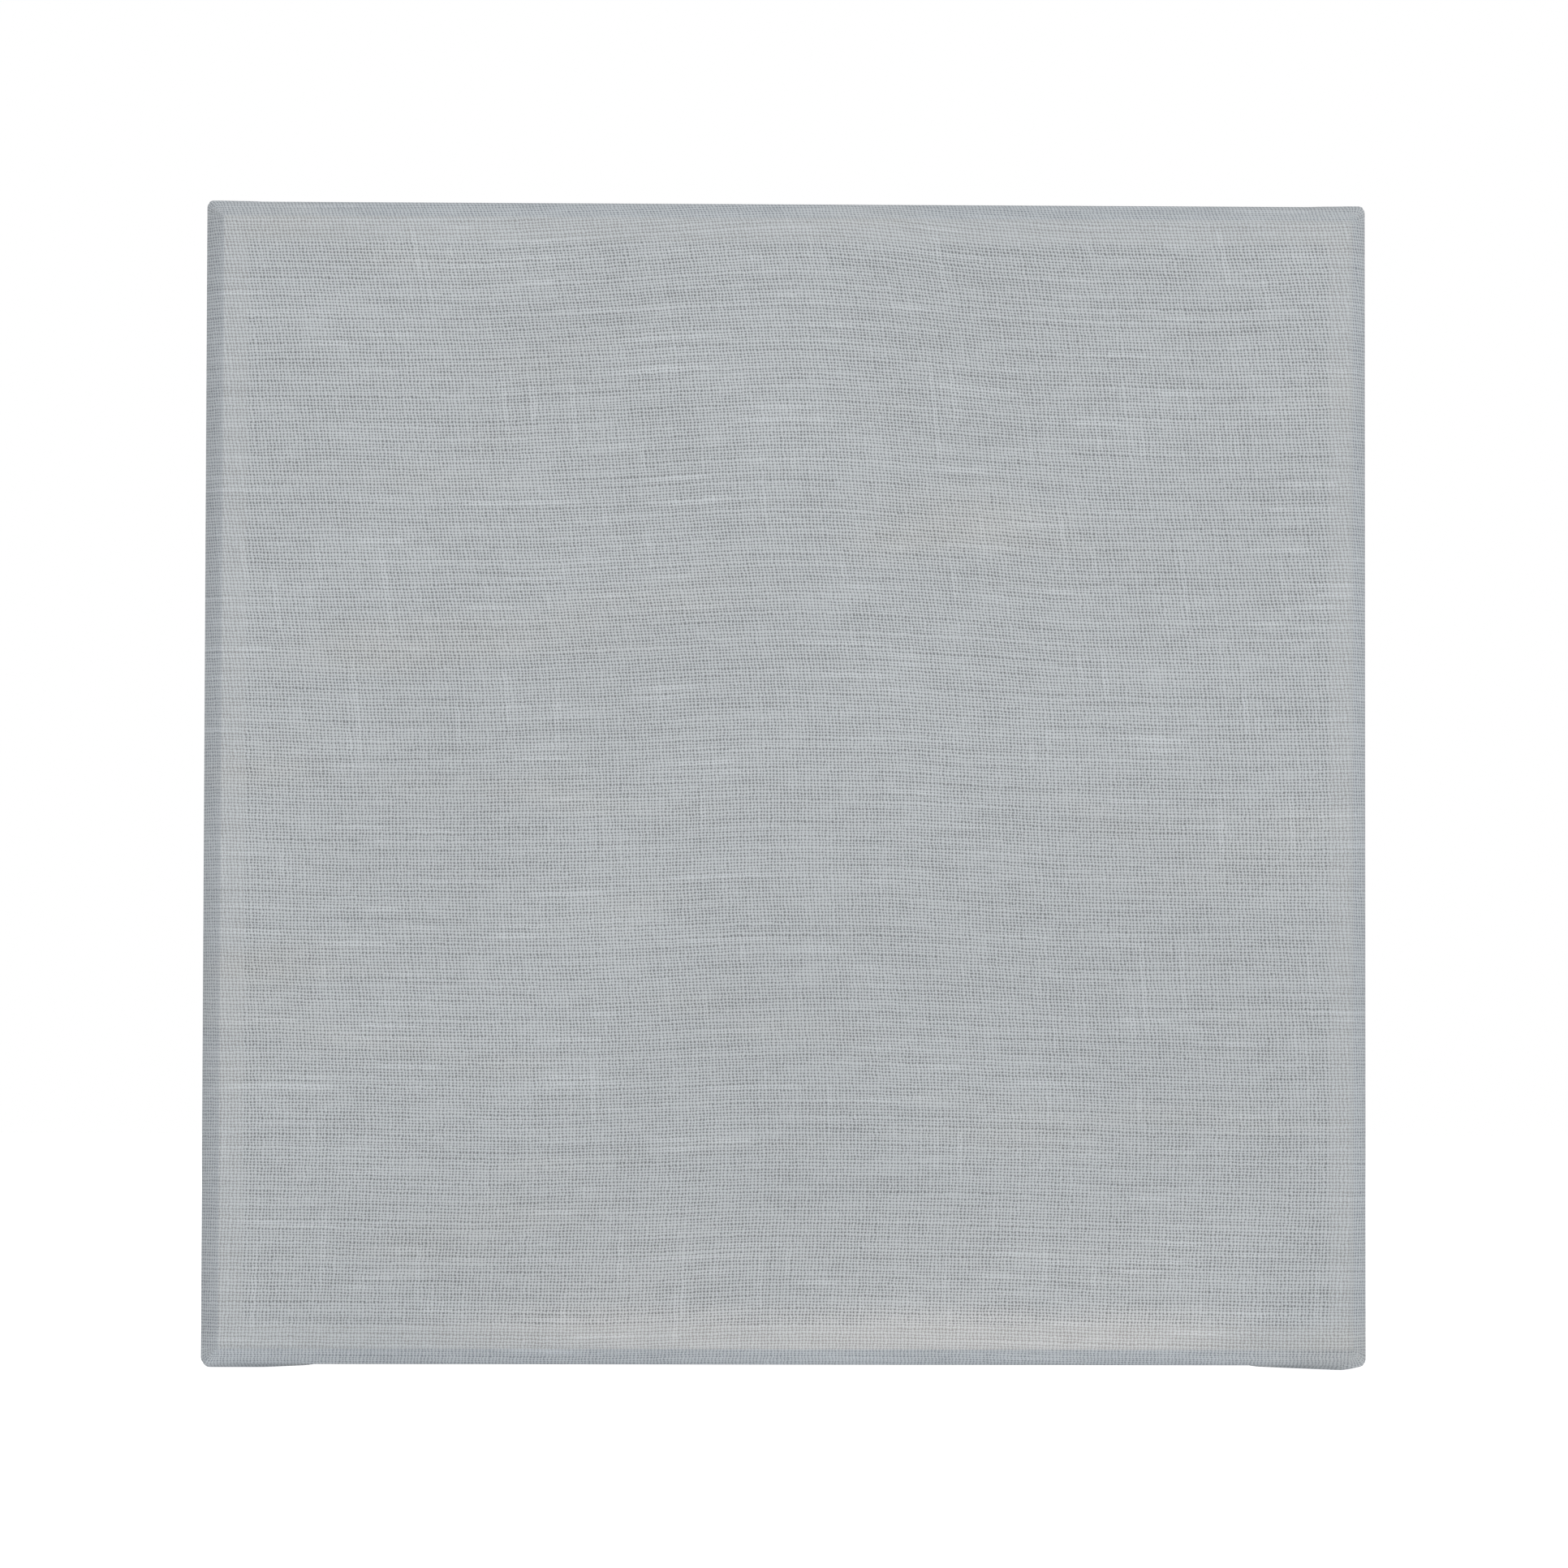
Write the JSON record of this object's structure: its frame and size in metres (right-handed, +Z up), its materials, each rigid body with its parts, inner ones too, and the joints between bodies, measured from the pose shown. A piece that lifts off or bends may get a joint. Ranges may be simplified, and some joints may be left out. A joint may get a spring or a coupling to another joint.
{
  "type": "stretched canvas",
  "caption": "Blank cloth stretched over a square of keyed wooden bars and stapled behind, with folded corners and wedge keys that drive the bars apart.",
  "frame": {"origin": "middle of the bottom of the whole object, halfway through its depth, on the surface it stands on", "axes": "+Z up, -Y out of the painting face, +Y out of the stapled back, +X to the right seen from the front"},
  "size_m": [0.2, 0.0206, 0.202],
  "materials": {
    "canvas_cloth": "fine open plain weave, matt",
    "bar_wood": "planed softwood, unfinished",
    "key_wood": "sawn hardwood, unfinished",
    "staple_steel": "bright galvanised wire"
  },
  "bodies": {
    "frame": {"bottom_bar": "bar_wood", "canvas": "canvas_cloth", "left_bar": "bar_wood", "right_bar": "bar_wood", "staple_bottom_1": "staple_steel", "staple_bottom_2": "staple_steel", "staple_bottom_3": "staple_steel", "staple_bottom_4": "staple_steel", "staple_bottom_5": "staple_steel", "staple_bottom_6": "staple_steel", "staple_bottom_7": "staple_steel", "staple_left_1": "staple_steel", "staple_left_2": "staple_steel", "staple_left_3": "staple_steel", "staple_left_4": "staple_steel", "staple_left_5": "staple_steel", "staple_left_6": "staple_steel", "staple_left_7": "staple_steel", "staple_right_1": "staple_steel", "staple_right_2": "staple_steel", "staple_right_3": "staple_steel", "staple_right_4": "staple_steel", "staple_right_5": "staple_steel", "staple_right_6": "staple_steel", "staple_right_7": "staple_steel", "staple_top_1": "staple_steel", "staple_top_2": "staple_steel", "staple_top_3": "staple_steel", "staple_top_4": "staple_steel", "staple_top_5": "staple_steel", "staple_top_6": "staple_steel", "staple_top_7": "staple_steel", "top_bar": "bar_wood"},
    "key_bottom_left_horizontal": {"key_bottom_left_horizontal": "key_wood"},
    "key_bottom_left_vertical": {"key_bottom_left_vertical": "key_wood"},
    "key_bottom_right_horizontal": {"key_bottom_right_horizontal": "key_wood"},
    "key_bottom_right_vertical": {"key_bottom_right_vertical": "key_wood"},
    "key_top_left_horizontal": {"key_top_left_horizontal": "key_wood"},
    "key_top_left_vertical": {"key_top_left_vertical": "key_wood"},
    "key_top_right_horizontal": {"key_top_right_horizontal": "key_wood"},
    "key_top_right_vertical": {"key_top_right_vertical": "key_wood"}
  },
  "joints": [
    {"name": "bottom_left_horizontal_key_slide", "type": "slide", "parent": "frame", "child": "key_bottom_left_horizontal", "axis": [1, 0, 0], "range_m": [-0.0015, 0.022]},
    {"name": "bottom_left_vertical_key_slide", "type": "slide", "parent": "frame", "child": "key_bottom_left_vertical", "axis": [0, 0, 1], "range_m": [-0.0015, 0.022]},
    {"name": "bottom_right_horizontal_key_slide", "type": "slide", "parent": "frame", "child": "key_bottom_right_horizontal", "axis": [-1, 0, 0], "range_m": [-0.0015, 0.022]},
    {"name": "bottom_right_vertical_key_slide", "type": "slide", "parent": "frame", "child": "key_bottom_right_vertical", "axis": [0, 0, 1], "range_m": [-0.0015, 0.022]},
    {"name": "top_left_horizontal_key_slide", "type": "slide", "parent": "frame", "child": "key_top_left_horizontal", "axis": [1, 0, 0], "range_m": [-0.0015, 0.022]},
    {"name": "top_left_vertical_key_slide", "type": "slide", "parent": "frame", "child": "key_top_left_vertical", "axis": [0, 0, -1], "range_m": [-0.0015, 0.022]},
    {"name": "top_right_horizontal_key_slide", "type": "slide", "parent": "frame", "child": "key_top_right_horizontal", "axis": [-1, 0, 0], "range_m": [-0.0015, 0.022]},
    {"name": "top_right_vertical_key_slide", "type": "slide", "parent": "frame", "child": "key_top_right_vertical", "axis": [0, 0, -1], "range_m": [-0.0015, 0.022]}
  ]
}
